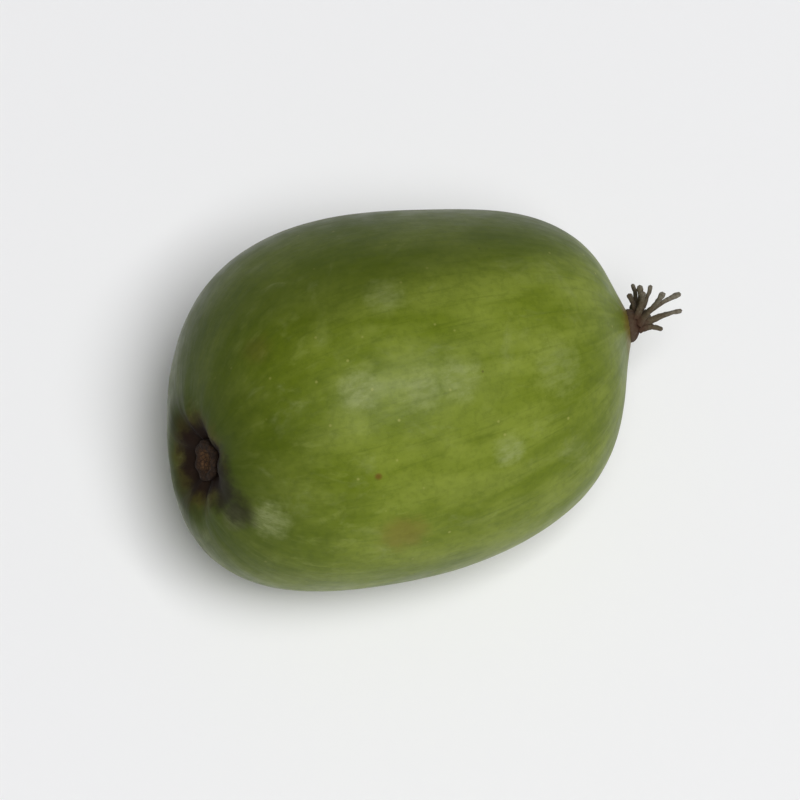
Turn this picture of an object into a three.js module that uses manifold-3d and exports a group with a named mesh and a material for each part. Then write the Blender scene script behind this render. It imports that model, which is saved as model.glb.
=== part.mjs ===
// A kiwi berry, the small smooth-skinned fruit of the hardy kiwi vine, lying on its side.
// Millimetres, +Z up. +X runs from the stem end to the end that keeps the dried styles.
// The lowest point is at z = 0 and the middle of the footprint is over the origin.

import * as THREE from 'three';
import { mergeVertices } from 'three/addons/utils/BufferGeometryUtils.js';
import Module from 'manifold-3d';

// Driving dimensions of the fruit
const LENGTH = 29.7;          // end to end, before the stem pit sinks in
const WIDTH = 23;             // across, lying on its side
const HEIGHT = 22.3;          // a little flatter than it is wide
const BLUNT_STEM = 0.1;       // how much fuller than an ellipse the stem end is
const BLUNT_TIP = 0.1;        // the same for the end with the styles
const FULL = 0.08;            // how far the fullest part sits towards the stem
const BOW = -0.75;            // sideways bend of the stem half
const SQUARE = 0.034;         // four gentle shoulders seen from above
const SQUARE_TURN = 2.1;      // where those shoulders sit, in radians of the fourth harmonic

// Low swellings around the fruit: their height as a share of the radius, how many go round,
// the phase, and how far they drift round from one end to the other
const SWELLS = [
  { height: 0.008, count: 2, phase: 0, drift: 0.6 },
  { height: 0.009, count: 3, phase: Math.PI / 2, drift: 0.9 },
  { height: 0.005, count: 5, phase: -Math.PI / 2, drift: -1.3 },
];

// The pit that the stalk leaves, with its puckers. It sits askew, as the stalk did.
const PIT_TILT = 0.4;         // how far off the long axis, in radians
const PIT_TURN = 1.9;         // and to which side, in radians round the fruit
const PIT_DEPTH = 2;
const PIT_RADIUS = 2.1;
const PUCKERS = 7;
const PUCKER_DEPTH = 0.35;

// The low rise under the styles
const RISE_HEIGHT = 0.55;
const RISE_RADIUS = 1.8;

// The small flat spot that the fruit rests on
const FLAT_DEPTH = 0.4;       // how much of the round underside is pressed flat
const FLAT_BLEND = 0.15;      // half-height of the soft edge round it

// The corky scar in the stem pit
const SCAR_RADIUS = 1.2;
const SCAR_THICKNESS = 0.5;
const SCAR_RIM = 0.22;        // how far its ring stands above its middle
const SCAR_RIM_AT = 0.7;      // where that ring runs, as a share of the radius
const SCAR_RIM_WIDTH = 0.2;   // half its width, as a share of the radius
const SCAR_UNEVEN = 0.12;     // how much thicker it is in three places
const SCAR_EDGE_DROP = 0.35;  // how much thinner it is at the very edge

// The tuft of dried styles
const DISC_RADIUS = 1.0;
const DISC_THICKNESS = 0.5;
const DISC_EDGE = 0.2;        // thickness left at its edge, as a share
const STYLE_COUNT = 12;
const STYLE_LENGTH = 3.3;     // the longest one can be
const STYLE_SHORTEST = 0.4;   // the shortest one, as a share of that
const STYLE_CURL = 0.25;      // most that one turns aside at its end, as a share of its length
const STYLE_KNOB = 0.3;       // how much thicker its end is, where the stigma was
const STYLE_KNOB_AT = 0.93;
const STYLE_KNOB_WIDTH = 0.08;
const STYLE_ROOT = 0.26;      // radius where a style leaves the disc
const STYLE_TIP = 0.14;       // radius just short of its end
const STYLE_THIN = 0.8;       // the thinnest style, as a share of those radii
const STYLE_SPREAD = 0.95;    // widest angle from the tuft's own axis, in radians
const STYLE_OPENING = 0.45;   // share of that angle at which a style sets out, before it bends
const STYLE_JITTER = 0.3;     // how far a style strays round the tuft, in radians
const ROOT_REACH = 0.6;       // how far out on the disc the outermost styles stand, as a share
const TUFT_LEAN = 0.7;        // the whole tuft leans to one side, in radians
const TUFT_RISE = 0.15;       // and that side is a little above the level, in radians
const FIRST_DRAW = 2050;      // where the steady draws for the styles start
const GOLDEN_ANGLE = Math.PI * (3 - Math.sqrt(5));

const GAP = 0.12;             // clear space between neighbouring pieces

// Mesh fineness
const SKIN_RINGS = 58;
const SKIN_SIDES = 50;
const RING_CROWDING = 0.35;   // how much closer the rings lie at the poles than evenly spaced
const CAP_RINGS = 5;
const CAP_SIDES = 20;
const STYLE_RINGS = 6;
const STYLE_SIDES = 6;

// The same number between 0 and 1 every time for the same two whole numbers
function steady(i, k) {
  const wave = Math.sin(i * 12.9898 + k * 78.233) * 43758.5453;
  return wave - Math.floor(wave);
}

// The grid over the fruit: s runs from 0 at the stem pit to pi at the styles, a runs round it.
// This gives the direction on a ball, with its stem half turned towards the pit. The turn is
// PIT_TILT at the pit and dies away with the square of the cosine.
function direction(s, a) {
  const turn = PIT_TILT * Math.max(0, Math.cos(s)) ** 2;
  const leaning = Math.sin(s) * Math.cos(a - PIT_TURN);
  const beside = Math.sin(s) * Math.sin(a - PIT_TURN);
  const moved = Math.cos(s) * Math.sin(turn) + leaning * Math.cos(turn);
  return {
    along: Math.cos(s) * Math.cos(turn) - leaning * Math.sin(turn),
    across: moved * Math.cos(PIT_TURN) - beside * Math.sin(PIT_TURN),
    up: moved * Math.sin(PIT_TURN) + beside * Math.cos(PIT_TURN),
  };
}

// A point of the fruit before its pit sinks in: an ellipsoid, swelled by the cube of the cosine
// towards both ends and by SWELLS round it, bent, and squared off by the shoulders
function plumpPoint(s, a) {
  const { along, across, up } = direction(s, a);
  const girth = Math.hypot(across, up);
  const around = Math.atan2(up, across);
  const blunt = along > 0 ? BLUNT_STEM : BLUNT_TIP;
  let fullness = (1 + blunt * Math.abs(along) ** 3) * (1 + FULL * along * girth * girth);
  let swell = 1;
  for (const { height, count, phase, drift } of SWELLS) {
    swell += girth * height * Math.cos(count * around + phase + drift * along);
  }
  fullness *= swell;

  let x = (-LENGTH / 2) * along;
  let y = (WIDTH / 2) * fullness * across;
  const z = (HEIGHT / 2) * fullness * up;
  if (along > 0) {
    y += BOW * along * along;
  } else {
    x += RISE_HEIGHT * Math.exp(-(y * y + z * z) / RISE_RADIUS ** 2);
  }

  const bearing = 4 * Math.atan2(across, -along);
  const shoulders = 1 + SQUARE * Math.hypot(across, along) ** 4 * Math.cos(bearing - SQUARE_TURN);
  return new THREE.Vector3(x, y, z).multiplyScalar(shoulders);
}

// The middle of the pit's mouth and the way it faces, square to the plain ellipsoid there
const PIT_MOUTH = plumpPoint(0, 0);
const PIT_FACING = new THREE.Vector3(
  -Math.cos(PIT_TILT) / LENGTH,
  (Math.sin(PIT_TILT) * Math.cos(PIT_TURN)) / WIDTH,
  (Math.sin(PIT_TILT) * Math.sin(PIT_TURN)) / HEIGHT,
).normalize();
const STYLES_FACING = new THREE.Vector3(1, 0, 0);

// A point of the skin: the stem pit is a Gaussian hollow with low puckers on its wall
function skinPoint(s, a) {
  const point = plumpPoint(s, a);
  if (s < Math.PI / 2) {
    const reach = point.clone().sub(PIT_MOUTH).projectOnPlane(PIT_FACING).length() / PIT_RADIUS;
    const depth = PIT_DEPTH + PUCKER_DEPTH * Math.cos(PUCKERS * a) * reach ** 2;
    point.addScaledVector(PIT_FACING, -depth * Math.exp(-(reach ** 2)));
  }
  return point;
}

// Rings are packed closer towards the two poles, where the skin curves most
function skinLatitude(share) {
  return Math.PI * share - 0.5 * RING_CROWDING * Math.sin(2 * Math.PI * share);
}

// Closes a stack of rings with one point at each end. place(ring, side) gives a point of a ring.
function closedStack(rings, sides, first, last, place) {
  const points = [first];
  for (let ring = 0; ring < rings; ring += 1) {
    for (let side = 0; side < sides; side += 1) {
      points.push(place(ring, side));
    }
  }
  points.push(last);

  const at = (ring, side) => 1 + ring * sides + (side % sides);
  const end = points.length - 1;
  const faces = [];
  for (let side = 0; side < sides; side += 1) {
    faces.push(0, at(0, side + 1), at(0, side));
    faces.push(end, at(rings - 1, side), at(rings - 1, side + 1));
    for (let ring = 0; ring + 1 < rings; ring += 1) {
      const [p, q] = [at(ring, side), at(ring, side + 1)];
      const [r, t] = [at(ring + 1, side), at(ring + 1, side + 1)];
      faces.push(p, q, t, p, t, r);
    }
  }

  const geometry = new THREE.BufferGeometry().setFromPoints(points);
  geometry.setIndex(faces);
  return outward(geometry);
}

// Turns the faces over if they point in, so that the enclosed volume is positive
function outward(geometry) {
  const index = geometry.getIndex();
  const position = geometry.getAttribute('position');
  const corner = [0, 1, 2].map(() => new THREE.Vector3());
  let volume = 0;
  for (let f = 0; f < index.count; f += 3) {
    corner.forEach((v, k) => v.fromBufferAttribute(position, index.getX(f + k)));
    volume += corner[0].dot(corner[1].cross(corner[2]));
  }
  if (volume < 0) {
    for (let f = 0; f < index.count; f += 3) {
      const second = index.getX(f + 1);
      index.setX(f + 1, index.getX(f + 2));
      index.setX(f + 2, second);
    }
  }
  geometry.computeVertexNormals();
  return geometry;
}

// The fruit's body, with its underside pressed flat by a smooth step in height
function berryGeometry() {
  const place = (ring, side) => {
    const share = (ring + 1) / (SKIN_RINGS + 1);
    return skinPoint(skinLatitude(share), (2 * Math.PI * side) / SKIN_SIDES);
  };
  const body = closedStack(SKIN_RINGS, SKIN_SIDES, skinPoint(0, 0), skinPoint(Math.PI, 0), place);
  body.computeBoundingBox();
  const flat = body.boundingBox.min.z + FLAT_DEPTH;
  const position = body.getAttribute('position');
  for (let i = 0; i < position.count; i += 1) {
    position.setZ(i, flat + softStep(position.getZ(i) - flat));
  }
  body.computeBoundingBox();
  body.computeVertexNormals();
  return body;
}

// Zero below the flat spot, unchanged above it, and a parabola between
function softStep(height) {
  if (height <= -FLAT_BLEND) {
    return 0;
  }
  return height >= FLAT_BLEND ? height : (height + FLAT_BLEND) ** 2 / (4 * FLAT_BLEND);
}

// A cap that follows the skin round a pole: its inner face is the skin moved out by GAP,
// and its outer face stands off by lift(share), where share runs from 0 at the pole to 1 at the rim.
function poleCap(pole, radius, lift) {
  const facing = Math.cos(pole) > 0 ? PIT_FACING : STYLES_FACING;
  const reach = latitudeOf(pole, facing, radius);
  const onSkin = (share, a, off) => {
    const point = skinPoint(pole + (reach - pole) * share, a);
    return point.addScaledVector(facing, GAP + off);
  };
  const place = (ring, side) => {
    const a = (2 * Math.PI * side) / CAP_SIDES;
    if (ring < CAP_RINGS) {
      return onSkin((ring + 1) / CAP_RINGS, a, 0);
    }
    const share = (2 * CAP_RINGS - ring) / CAP_RINGS;
    return onSkin(share, a, lift(share, a));
  };
  const first = onSkin(0, 0, 0);
  const last = onSkin(0, 0, lift(0, 0));
  return closedStack(2 * CAP_RINGS, CAP_SIDES, first, last, place);
}

// The latitude at which the skin is a given distance from its pole's axis, found by halving
function latitudeOf(pole, facing, radius) {
  const centre = skinPoint(pole, 0);
  let near = pole;
  let far = Math.PI / 2;
  for (let step = 0; step < 40; step += 1) {
    const middle = (near + far) / 2;
    const away = skinPoint(middle, Math.PI / 2).sub(centre).projectOnPlane(facing);
    if (away.length() < radius) {
      near = middle;
    } else {
      far = middle;
    }
  }
  return near;
}

// The corky scar: a thick disc with a raised ring and a low middle
function scarGeometry() {
  const lift = (share, a) => {
    const ring = SCAR_RIM * Math.exp(-(((share - SCAR_RIM_AT) / SCAR_RIM_WIDTH) ** 2));
    const uneven = 1 + SCAR_UNEVEN * share * Math.cos(3 * a);
    return (SCAR_THICKNESS - SCAR_RIM + ring) * uneven * (1 - SCAR_EDGE_DROP * share ** 6);
  };
  return poleCap(0, SCAR_RADIUS, lift);
}

// One dried style: a thin tapering thread that leaves the disc along the tuft's axis and bends out,
// with a slightly thicker end, where the stigma was
function styleGeometry(i, base, axis, sideways, across) {
  const draw = FIRST_DRAW + i;
  const share = (i + 0.5) / STYLE_COUNT;
  const around = i * GOLDEN_ANGLE + STYLE_JITTER * (2 * steady(draw, 1) - 1);
  const spread = STYLE_SPREAD * Math.sqrt(share);
  const length = STYLE_LENGTH * THREE.MathUtils.lerp(STYLE_SHORTEST, 1, steady(draw, 2));
  const curl = STYLE_CURL * (2 * steady(draw, 3) - 1);
  const girth = THREE.MathUtils.lerp(STYLE_THIN, 1, steady(draw, 4));

  const radial = sideways.clone().multiplyScalar(Math.cos(around));
  radial.addScaledVector(across, Math.sin(around));
  const turned = new THREE.Vector3().crossVectors(axis, radial);
  const fromMiddle = ROOT_REACH * DISC_RADIUS * Math.sqrt(share);
  const onDisc = new THREE.Vector3(0, Math.cos(around), Math.sin(around));
  const root = base.clone().addScaledVector(onDisc, fromMiddle);

  const spine = [];
  for (let ring = 0; ring <= STYLE_RINGS; ring += 1) {
    const t = ring / STYLE_RINGS;
    const lean = spread * THREE.MathUtils.lerp(STYLE_OPENING, 1, t);
    const point = root.clone();
    point.addScaledVector(axis, length * t * Math.cos(lean));
    point.addScaledVector(radial, length * t * Math.sin(lean));
    point.addScaledVector(turned, length * curl * t * t);
    spine.push(point);
  }
  const curve = new THREE.CatmullRomCurve3(spine);
  const frames = curve.computeFrenetFrames(STYLE_RINGS);
  const place = (ring, side) => {
    const t = ring / STYLE_RINGS;
    const knob = STYLE_KNOB * Math.exp(-(((t - STYLE_KNOB_AT) / STYLE_KNOB_WIDTH) ** 2));
    const radius = girth * THREE.MathUtils.lerp(STYLE_ROOT, STYLE_TIP, t ** 0.7) * (1 + knob);
    const a = (2 * Math.PI * side) / STYLE_SIDES;
    const point = curve.getPointAt(t);
    point.addScaledVector(frames.normals[ring], radius * Math.cos(a));
    return point.addScaledVector(frames.binormals[ring], radius * Math.sin(a));
  };
  const tip = curve.getPointAt(1).addScaledVector(frames.tangents[STYLE_RINGS], STYLE_TIP);
  return closedStack(STYLE_RINGS + 1, STYLE_SIDES, root, tip, place);
}

// The tuft: the styles fused with the withered disc that they stand on
function stylesGeometry(wasm) {
  const lift = (share) => DISC_THICKNESS * Math.sqrt(1 + DISC_EDGE ** 2 - share * share);
  let tuft = toSolid(wasm, poleCap(Math.PI, DISC_RADIUS, lift));
  const base = skinPoint(Math.PI, 0);
  base.x += GAP + 0.5 * DISC_THICKNESS;

  const lean = new THREE.Euler(TUFT_RISE, 0, TUFT_LEAN, 'XYZ');
  const axis = new THREE.Vector3(1, 0, 0).applyEuler(lean);
  const sideways = new THREE.Vector3(0, 1, 0).applyEuler(lean);
  const across = new THREE.Vector3(0, 0, 1).applyEuler(lean);
  for (let i = 0; i < STYLE_COUNT; i += 1) {
    tuft = tuft.add(toSolid(wasm, styleGeometry(i, base, axis, sideways, across)));
  }
  return fromSolid(tuft);
}

// three.js geometry to a solid that can be joined, and back
function toSolid(wasm, geometry) {
  const bare = geometry.clone();
  bare.deleteAttribute('normal');
  const merged = mergeVertices(bare, 1e-5);
  return new wasm.Manifold(new wasm.Mesh({
    numProp: 3,
    vertProperties: new Float32Array(merged.getAttribute('position').array),
    triVerts: new Uint32Array(merged.getIndex().array),
  }));
}

function fromSolid(solid) {
  const mesh = solid.getMesh();
  const geometry = new THREE.BufferGeometry();
  geometry.setAttribute('position', new THREE.BufferAttribute(mesh.vertProperties, 3));
  geometry.setIndex(new THREE.BufferAttribute(mesh.triVerts, 1));
  geometry.computeVertexNormals();
  return geometry;
}

function namedMesh(name, geometry, color, roughness) {
  const material = new THREE.MeshStandardMaterial({ color, roughness, metalness: 0 });
  const mesh = new THREE.Mesh(geometry, material);
  mesh.name = name;
  return mesh;
}

const wasm = await Module();
wasm.setup();

const fruit = new THREE.Group();
fruit.add(namedMesh('berry', berryGeometry(), 0x6b7a33, 0.42));
fruit.add(namedMesh('dried_styles', stylesGeometry(wasm), 0x3a2a1c, 0.85));
fruit.add(namedMesh('stem_scar', scarGeometry(), 0x6a4c2a, 0.9));

// Stand the fruit on z = 0 with the middle of its footprint over the origin
const box = new THREE.Box3().setFromObject(fruit);
const middle = box.getCenter(new THREE.Vector3());
fruit.position.set(-middle.x, -middle.y, -box.min.z);

const kiwiBerry = new THREE.Group();
kiwiBerry.add(fruit);
kiwiBerry.updateMatrixWorld(true);

export default kiwiBerry;
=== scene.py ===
# %% [markdown]
# # A kiwi berry on a pale table
#
# The fruit is about as long as a thumb joint: a smooth oval berry, lying on its side. One end
# has the pit that the stalk left, with a corky scar in it. The other end keeps a little tuft
# of dried styles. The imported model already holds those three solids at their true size. This
# script dresses each of them with a finer surface of the same form, and gives it its finish.

# %% The fixed frame
import math

import bpy
import numpy as np
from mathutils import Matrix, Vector


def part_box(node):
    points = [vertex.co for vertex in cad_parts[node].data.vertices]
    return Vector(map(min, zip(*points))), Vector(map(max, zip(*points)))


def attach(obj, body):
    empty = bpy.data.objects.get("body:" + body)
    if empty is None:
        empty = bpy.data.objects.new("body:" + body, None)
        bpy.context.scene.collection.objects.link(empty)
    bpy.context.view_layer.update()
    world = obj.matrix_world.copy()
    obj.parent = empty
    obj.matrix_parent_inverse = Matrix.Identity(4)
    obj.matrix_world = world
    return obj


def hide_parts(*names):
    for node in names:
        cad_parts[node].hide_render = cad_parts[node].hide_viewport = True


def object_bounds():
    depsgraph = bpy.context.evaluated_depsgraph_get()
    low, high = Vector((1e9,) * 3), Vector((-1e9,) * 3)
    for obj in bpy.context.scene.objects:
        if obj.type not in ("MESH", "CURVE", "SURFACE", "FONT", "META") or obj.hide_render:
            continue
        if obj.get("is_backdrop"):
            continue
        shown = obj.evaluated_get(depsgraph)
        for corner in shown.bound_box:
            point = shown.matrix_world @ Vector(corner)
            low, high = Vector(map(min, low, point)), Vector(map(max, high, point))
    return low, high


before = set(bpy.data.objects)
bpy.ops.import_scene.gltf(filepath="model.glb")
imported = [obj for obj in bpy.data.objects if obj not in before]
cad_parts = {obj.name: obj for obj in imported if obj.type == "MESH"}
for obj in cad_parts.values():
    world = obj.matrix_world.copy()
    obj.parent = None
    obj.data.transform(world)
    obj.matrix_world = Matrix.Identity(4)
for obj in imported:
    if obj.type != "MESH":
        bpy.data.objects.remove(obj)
cad_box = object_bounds()
MM = 0.001
print("nodes:", sorted(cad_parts))
print("the whole part in mm:", [round((b - a) / MM, 2) for a, b in zip(*cad_box)])

# %% [markdown]
# ## The fruit's outline
#
# A sphere or a scaled ball would look wrong at once: the real berry is blunter at its ends, is
# fullest a little nearer the stalk, bends slightly, and has soft shoulders and low swellings.
# One formula of two angles holds all of that, so the same surface can be as coarse or as fine
# as a step needs. `s` runs from the stem pole to the styles and `a` runs round the fruit.
# The sizes below are the part's own driving dimensions, in millimetres.

# %% Sizes of the fruit
LENGTH, WIDTH, HEIGHT = 29.7, 23.0, 22.3
BLUNT_STEM, BLUNT_TIP = 0.1, 0.1
FULL = 0.08
BOW = -0.75
SQUARE, SQUARE_TURN = 0.034, 2.1
SWELLS = (  # height, how many go round, phase, drift
    (0.008, 2, 0.0, 0.6),
    (0.009, 3, math.pi / 2, 0.9),
    (0.005, 5, -math.pi / 2, -1.3),
)
PIT_TILT, PIT_TURN = 0.4, 1.9
PIT_DEPTH, PIT_RADIUS = 2.0, 2.1
PUCKERS, PUCKER_DEPTH = 7, 0.35
RISE_HEIGHT, RISE_RADIUS = 0.55, 1.8
FLAT_DEPTH, FLAT_BLEND = 0.4, 0.15


def plump(s, a):
    """Points of the fruit before the stem pit sinks in, for arrays of the two angles.

    The two angles give a direction on a ball, whose stem half is turned towards the pit by
    PIT_TILT times the squared cosine. The ball is stretched to the three sizes, swelled by the
    cube of the cosine towards the ends, by a hump nearer the stem and by low waves round it.
    Then the stem half is bent aside, a Gaussian lifts the rise under the styles, and a fourth
    harmonic of the bearing seen from above gives the shoulders.
    """
    turn = PIT_TILT * np.maximum(0, np.cos(s)) ** 2
    leaning, beside = np.sin(s) * np.cos(a - PIT_TURN), np.sin(s) * np.sin(a - PIT_TURN)
    along = np.cos(s) * np.cos(turn) - leaning * np.sin(turn)
    moved = np.cos(s) * np.sin(turn) + leaning * np.cos(turn)
    across = moved * math.cos(PIT_TURN) - beside * math.sin(PIT_TURN)
    up = moved * math.sin(PIT_TURN) + beside * math.cos(PIT_TURN)
    girth, around = np.hypot(across, up), np.arctan2(up, across)
    full = 1 + np.where(along > 0, BLUNT_STEM, BLUNT_TIP) * np.abs(along) ** 3
    full = full * (1 + FULL * along * girth * girth)
    waves = sum(h * np.cos(k * around + phase + drift * along) for h, k, phase, drift in SWELLS)
    full = full * (1 + girth * waves)
    x = -LENGTH / 2 * along
    y = WIDTH / 2 * full * across
    z = HEIGHT / 2 * full * up
    x = x + np.where(along > 0, 0, RISE_HEIGHT * np.exp(-(y * y + z * z) / RISE_RADIUS**2))
    y = y + np.where(along > 0, BOW * along * along, 0)
    shoulders = 1 + SQUARE * np.real((-along + 1j * across) ** 4 * np.exp(-1j * SQUARE_TURN))
    return np.stack([x, y, z], axis=-1) * shoulders[..., None]


PIT_MOUTH = plump(np.array(0.0), np.array(0.0))
PIT_FACING = np.array([
    -math.cos(PIT_TILT) / LENGTH,
    math.sin(PIT_TILT) * math.cos(PIT_TURN) / WIDTH,
    math.sin(PIT_TILT) * math.sin(PIT_TURN) / HEIGHT,
])
PIT_FACING = PIT_FACING / np.linalg.norm(PIT_FACING)
STYLES_FACING = np.array([1.0, 0.0, 0.0])


def off_axis(points, centre, facing):
    """How far each point is from the line through centre in the direction facing."""
    away = points - centre
    return np.linalg.norm(away - (away @ facing)[..., None] * facing, axis=-1)


def skin(s, a):
    """Points of the skin: the stem pit is a Gaussian hollow with low puckers on its wall."""
    points = plump(s, a)
    reach = off_axis(points, PIT_MOUTH, PIT_FACING) / PIT_RADIUS
    depth = (PIT_DEPTH + PUCKER_DEPTH * np.cos(PUCKERS * a) * reach**2) * np.exp(-(reach**2))
    return points - np.where(s < math.pi / 2, depth, 0)[..., None] * PIT_FACING


def press_flat(points, floor):
    """The resting spot: no change above it, flat below it, and a parabola between the two."""
    h = points[..., 2] - floor
    bend = (h + FLAT_BLEND) ** 2 / (4 * FLAT_BLEND)
    soft = np.where(h <= -FLAT_BLEND, 0, np.where(h >= FLAT_BLEND, h, bend))
    return np.concatenate([points[..., :2], (floor + soft)[..., None]], axis=-1)


STEM_POLE = skin(np.array(0.0), np.array(0.0))
TIP_POLE = skin(np.array(math.pi), np.array(0.0))
print("from pit to styles in mm:", round(float(TIP_POLE[0] - STEM_POLE[0]), 2))

# %% [markdown]
# ## Uneven by nature
#
# Nothing on a fruit is exactly even. Random numbers at the corners of a grid of cubes, blended
# smoothly between them, give gentle unevenness at any size that is asked for. The numbers come
# from whole-number arithmetic on the corner's place, so every run makes the same fruit.

# %% Smooth unevenness
HASH_STEPS = (73856093, 19349663, 83492791)
HASH_SEED = 2654435761
HASH_MIXES = ((13, 1274126177), (16, 2246822519))
HASH_WORD, HASH_SHARE = 0xFFFFFFFF, 0xFFFFFF
STEADY_WAVES, STEADY_HEIGHT = (12.9898, 78.233), 43758.5453


def corner_value(ix, iy, iz, seed):
    """A steady number between 0 and 1 for each corner of the grid of cubes."""
    h = (ix * HASH_STEPS[0]) ^ (iy * HASH_STEPS[1]) ^ (iz * HASH_STEPS[2]) ^ (seed * HASH_SEED)
    for shift, mix in HASH_MIXES:
        h = (h ^ (h >> shift)) * mix & HASH_WORD
    return (h & HASH_SHARE) / HASH_SHARE


def uneven(points, size, seed):
    """Value noise from -1 to 1: corner values of cubes `size` wide, blended by 3f^2 - 2f^3."""
    place = points / size
    low = np.floor(place).astype(np.int64)
    f = place - low
    f = f * f * (3 - 2 * f)
    total = 0
    for corner in range(8):
        step = [(corner >> k) & 1 for k in range(3)]
        share = 1
        for k in range(3):
            share = share * (f[..., k] if step[k] else 1 - f[..., k])
        total = total + share * corner_value(*(low[..., k] + step[k] for k in range(3)), seed)
    return 2 * total - 1


def steady(i, k):
    """The same number between 0 and 1 every time for the same two whole numbers."""
    wave = np.sin(i * STEADY_WAVES[0] + k * STEADY_WAVES[1]) * STEADY_HEIGHT
    return wave - np.floor(wave)


# %% [markdown]
# ## From a grid of points to a closed skin
#
# Each surface here is a stack of rings with one point at each end, like the lines of latitude
# on a globe. Square faces fill the rings and triangles close the two poles, so nothing is left
# open. The enclosed volume tells which way the faces look, and they are turned if it is negative.

# %% Ring stacks
def ring_stack(rings, first, last):
    """Vertices and faces of a closed stack. rings has the shape (rings, sides, 3)."""
    count, sides = rings.shape[:2]
    points = np.concatenate([first[None], rings.reshape(-1, 3), last[None]])
    near = np.arange(sides)
    far = (near + 1) % sides
    rows = 1 + sides * np.arange(count - 1)[:, None]
    quads = np.stack([rows + near, rows + sides + near, rows + sides + far, rows + far], axis=-1)
    top, end = 1 + sides * (count - 1), len(points) - 1
    start_fan = np.stack([np.zeros(sides, int), 1 + near, 1 + far], axis=-1)
    end_fan = np.stack([np.full(sides, end), top + far, top + near], axis=-1)
    quads = quads.reshape(-1, 4)
    fans = np.concatenate([start_fan, end_fan])
    if enclosed(points, quads, fans) < 0:
        quads, fans = quads[:, ::-1], fans[:, ::-1]
    return points, quads, fans


def enclosed(points, quads, fans):
    """The signed volume inside the faces: a sixth of the sum of p . (q x r) over triangles."""
    faces = np.concatenate([quads[:, [0, 1, 2]], quads[:, [0, 2, 3]], fans])
    p, q, r = (points[faces[:, k]] for k in range(3))
    return float(np.einsum("ij,ij->", p, np.cross(q, r)) / 6)


def put_mesh(name, stacks):
    """One smooth mesh object at the origin, in metres, from one or more closed stacks."""
    points, loops, sizes, start = [], [], [], 0
    for stack_points, quads, fans in stacks:
        points.append(stack_points)
        for faces in (quads, fans):
            loops.append((faces + start).ravel())
            sizes.append(np.full(len(faces), faces.shape[1]))
        start += len(stack_points)
    points, loops, sizes = (np.concatenate(part) for part in (points, loops, sizes))
    mesh = bpy.data.meshes.new(name)
    mesh.vertices.add(len(points))
    mesh.vertices.foreach_set("co", (points * MM).ravel())
    mesh.loops.add(len(loops))
    mesh.loops.foreach_set("vertex_index", loops)
    mesh.polygons.add(len(sizes))
    mesh.polygons.foreach_set("loop_start", np.concatenate([[0], np.cumsum(sizes)[:-1]]))
    mesh.polygons.foreach_set("use_smooth", np.ones(len(sizes), bool))
    mesh.update(calc_edges=True)
    mesh.validate()
    piece = bpy.data.objects.new(name, mesh)
    bpy.context.scene.collection.objects.link(piece)
    print(name, "has", int(np.sum(sizes - 2)), "triangles")
    return piece


# %% [markdown]
# ## The skin's own relief
#
# The berry has no fuzz, but it isn't a polished egg. Broad lumps of a few hundredths of a
# millimetre break the edge of its highlight, faint ribs run lengthwise and gather at both ends,
# fine creases run into the stem pit, and it carries a few shallow dents from lying packed.
# They are added along the line from the fruit's middle, before its resting spot is pressed flat.

# %% Fine relief
RINGS, SIDES = 330, 288
RING_CROWDING = 0.35
LUMPS = ((6.0, 0.07), (2.4, 0.022), (0.55, 0.0045))  # width and height of each kind of lump
RIB_WIDTH, RIB_HEIGHT, RIB_RUN = 1.5, 0.02, 9.0
CREASE_HEIGHT, CREASE_REACH = 0.05, 3.8
CREASE_WIDTH, CREASE_CIRCLE = 0.55, 3.0
LUMP_SEED, RIB_SEED, CREASE_SEED = 11, 21, 31
DENTS, DENT_DEPTH, DENT_WIDTH, DENT_LEAST = 9, 0.06, 1.1, 0.6
DENT_DRAWS = (5, 6, 7)  # for the bearing, the width and the depth


def lengthwise(points, a, width, run, seed):
    """Unevenness drawn out along the fruit: `width` across, and `run` times that lengthwise."""
    across = 0.5 * WIDTH * np.stack([np.cos(a), np.sin(a)], axis=-1)
    drawn = np.concatenate([points[..., :1] / run, across], axis=-1)
    return uneven(drawn, width, seed)


def dents(points):
    """Shallow round dents: Gaussians at steady places all over the fruit."""
    sunk = 0
    for i in range(DENTS):
        bearing, size, depth = (steady(i, draw) for draw in DENT_DRAWS)
        s = math.acos(1 - 2 * (i + 0.5) / DENTS)
        centre = skin(np.array(s), np.array(2 * math.pi * bearing))
        width = DENT_WIDTH * (DENT_LEAST + size)
        gap = np.sum((points - centre) ** 2, axis=-1) / width**2
        sunk = sunk - DENT_DEPTH * depth * np.exp(-gap)
    return sunk


def relief(points, a):
    """Height to add at each point, in millimetres: lumps, ribs, creases at the pit and dents."""
    height = sum(h * uneven(points, w, LUMP_SEED + k) for k, (w, h) in enumerate(LUMPS))
    height = height + RIB_HEIGHT * lengthwise(points, a, RIB_WIDTH, RIB_RUN, RIB_SEED)
    from_pit = np.linalg.norm(points - STEM_POLE, axis=-1)
    circle = CREASE_CIRCLE * np.stack([np.cos(a), np.sin(a), 0 * a], axis=-1)
    envelope = (from_pit / CREASE_REACH) * np.exp(1 - (from_pit / CREASE_REACH) ** 2)
    height = height + CREASE_HEIGHT * envelope * uneven(circle, CREASE_WIDTH, CREASE_SEED)
    return height + dents(points)


def ring_angles(rings, sides):
    """The two angles of a closed grid, with the rings packed closer at the poles."""
    share = np.arange(1, rings + 1) / (rings + 1)
    s = math.pi * share - 0.5 * RING_CROWDING * np.sin(2 * math.pi * share)
    return np.meshgrid(s, 2 * math.pi * np.arange(sides) / sides, indexing="ij")


s, a = ring_angles(RINGS, SIDES)
smooth = skin(s, a)
outward = smooth / np.linalg.norm(smooth, axis=-1, keepdims=True)
height = relief(smooth, a)
FLOOR_LEVEL = float(smooth[..., 2].min()) + FLAT_DEPTH
rough = press_flat(smooth + height[..., None] * outward, FLOOR_LEVEL)
print("relief from", round(float(height.min()), 3), "to", round(float(height.max()), 3), "mm")

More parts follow.
